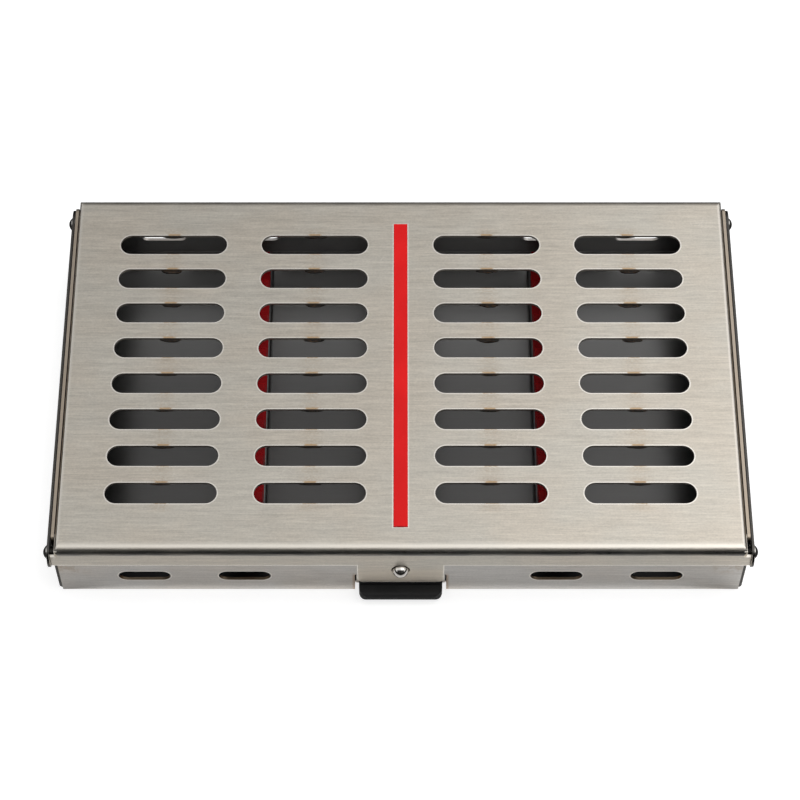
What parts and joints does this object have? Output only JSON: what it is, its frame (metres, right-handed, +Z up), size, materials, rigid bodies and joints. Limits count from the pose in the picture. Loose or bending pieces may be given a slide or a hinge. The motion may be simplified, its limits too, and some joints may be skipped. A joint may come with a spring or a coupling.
{
  "type": "dental instrument cassette",
  "caption": "Slotted steel cassette for dental instruments, with a lid on side arms, red silicone rails inside, a red silicone strip in the lid and a sprung front latch.",
  "frame": {"origin": "centre of the tray's flat underside", "axes": "+X along the instruments, +Y towards the rear pivots, +Z up"},
  "size_m": [0.1838, 0.1127, 0.0244],
  "materials": {
    "lid_steel": "brushed along X",
    "tray_steel": "satin",
    "arm_steel": "brushed along its length",
    "spring_steel": "satin",
    "pin_steel": "polished",
    "red_silicone": "satin",
    "black_grip": "matt"
  },
  "bodies": {
    "tray": {"base_tray": "tray_steel", "latch_frame": "spring_steel", "latch_rivets": "pin_steel", "rail_channel_left": "tray_steel", "rail_channel_right": "tray_steel", "channel_rivets_left": "pin_steel", "channel_rivets_right": "pin_steel", "silicone_rail_left": "red_silicone", "silicone_rail_right": "red_silicone", "rear_pin_left": "pin_steel", "rear_pin_right": "pin_steel", "rear_washer_left": "pin_steel", "rear_washer_right": "pin_steel"},
    "arms": {"arm_left": "arm_steel", "arm_right": "arm_steel"},
    "lid": {"lid_panel": "lid_steel", "lid_silicone_strip": "red_silicone", "front_pin_left": "pin_steel", "front_pin_right": "pin_steel", "front_spacer_left": "pin_steel", "front_spacer_right": "pin_steel"},
    "latch": {"latch_tongue": "spring_steel", "latch_stud": "pin_steel", "latch_grip": "black_grip"}
  },
  "joints": [
    {"name": "arms_swing", "type": "hinge", "parent": "tray", "child": "arms", "pos_m": [0, 0.04945, 0.0194], "axis": [-1, 0, 0], "range_deg": [0, 188]},
    {"name": "lid_tilt", "type": "hinge", "parent": "arms", "child": "lid", "pos_m": [0, -0.05255, 0.0194], "axis": [1, 0, 0], "range_deg": [0, 0.9]},
    {"name": "latch_press", "type": "hinge", "parent": "tray", "child": "latch", "pos_m": [0, -0.0528, 0.0203], "axis": [1, 0, 0], "range_deg": [0, 12], "stiffness_Nm_per_rad": 0.3, "springref_deg": -5.73}
  ],
  "couplings": [
    {"joint": "lid_tilt", "follows": "arms_swing", "ratio": 0.0045}
  ]
}
